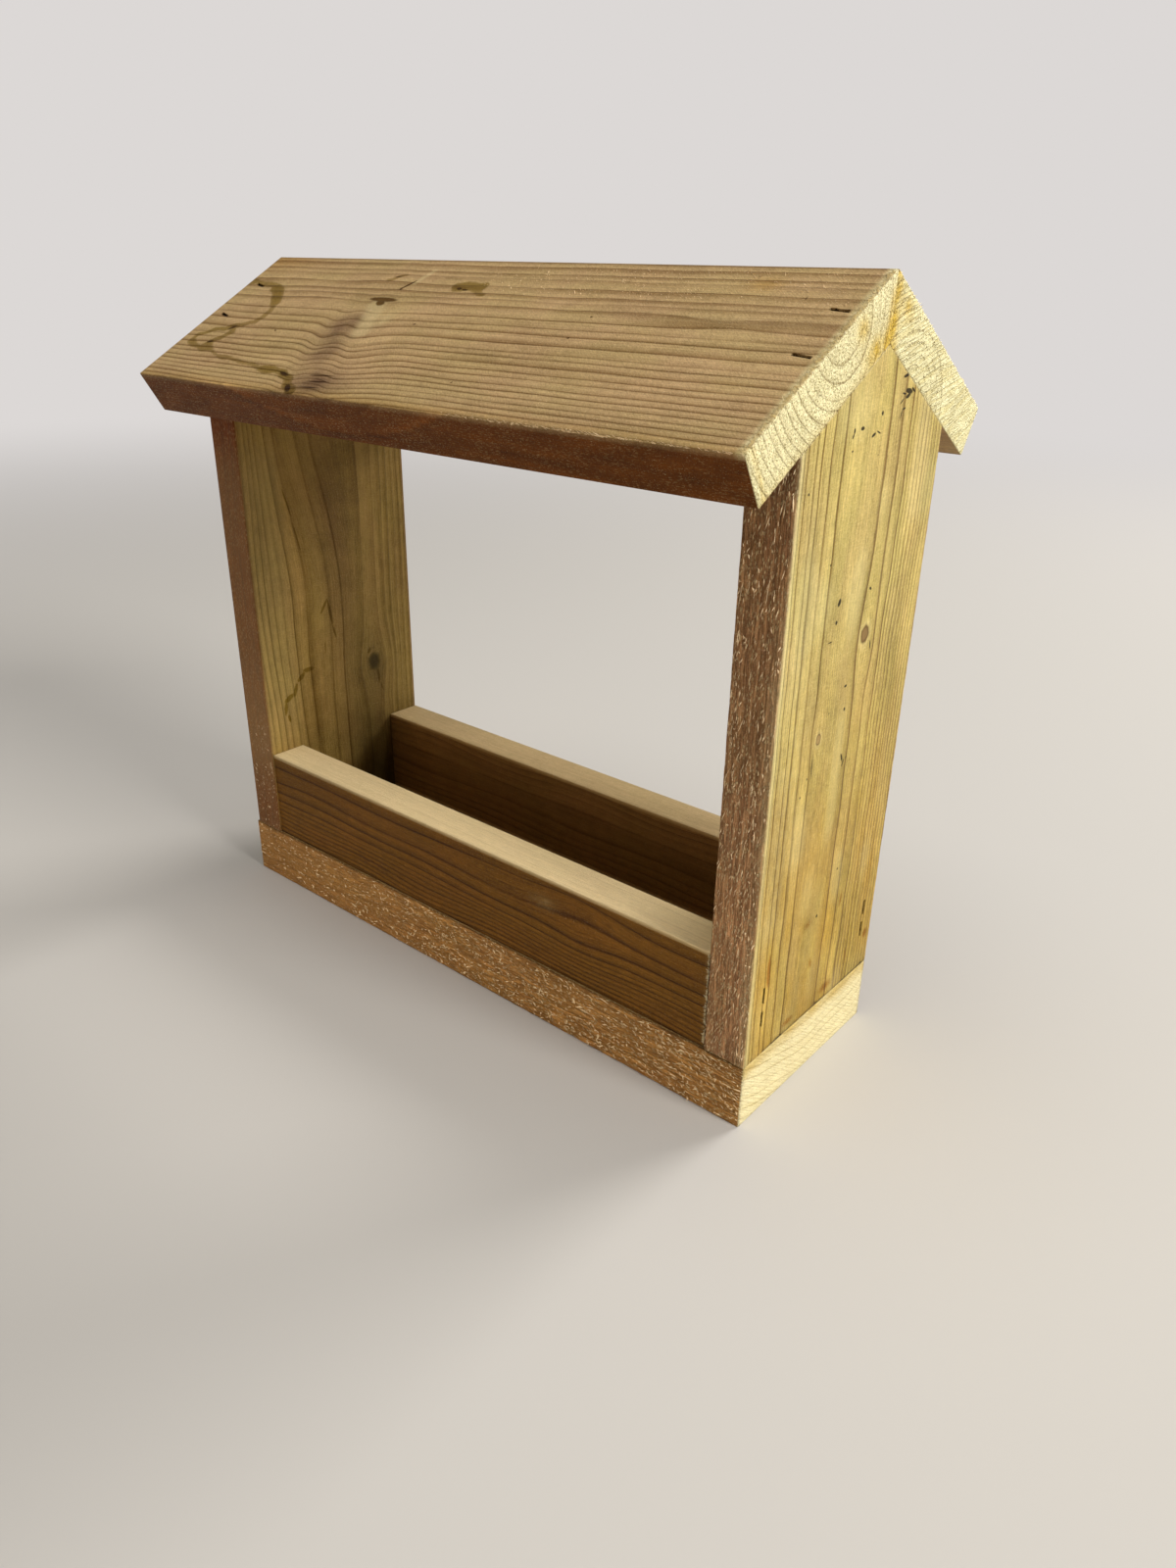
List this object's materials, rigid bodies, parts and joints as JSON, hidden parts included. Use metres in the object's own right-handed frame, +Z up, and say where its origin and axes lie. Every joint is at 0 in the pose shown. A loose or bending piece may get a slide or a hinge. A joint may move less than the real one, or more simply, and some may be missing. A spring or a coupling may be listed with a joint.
{
  "type": "bird feeder",
  "caption": "Open-sided wooden bird feeder: thick base, gabled end panels, low rails round a seed trough, and a pitched board roof mitred at the ridge.",
  "frame": {"origin": "bottom centre of the bounding box, on the underside of the base", "axes": "+X along the ridge towards the end where the roof, panel and base are flush, +Y from front to back, +Z up"},
  "size_m": [0.318, 0.162, 0.3111],
  "materials": {
    "base_wood": "rough-sawn treated softwood",
    "panel_wood": "planed treated softwood, greenish",
    "rail_wood": "planed treated softwood",
    "roof_wood": "planed treated softwood, weathered tan",
    "staple_steel": "galvanised wire"
  },
  "bodies": {
    "root": {"base": "base_wood", "end_panel_left": "panel_wood", "end_panel_right": "panel_wood", "front_rail": "rail_wood", "back_rail": "rail_wood", "roof_front": "roof_wood", "roof_back": "roof_wood", "roof_staple_front_left_upper": "staple_steel", "roof_staple_front_left_lower": "staple_steel", "roof_staple_front_right_upper": "staple_steel", "roof_staple_front_right_lower": "staple_steel", "roof_staple_back_left_upper": "staple_steel", "roof_staple_back_left_lower": "staple_steel", "roof_staple_back_right_upper": "staple_steel", "roof_staple_back_right_lower": "staple_steel", "rail_staple_front_left_upper": "staple_steel", "rail_staple_front_left_lower": "staple_steel", "rail_staple_front_right_upper": "staple_steel", "rail_staple_front_right_lower": "staple_steel", "rail_staple_back_left_upper": "staple_steel", "rail_staple_back_left_lower": "staple_steel", "rail_staple_back_right_upper": "staple_steel", "rail_staple_back_right_lower": "staple_steel", "base_staple_front_left": "staple_steel", "base_staple_front_right": "staple_steel", "base_staple_back_left": "staple_steel", "base_staple_back_right": "staple_steel"}
  },
  "joints": []
}
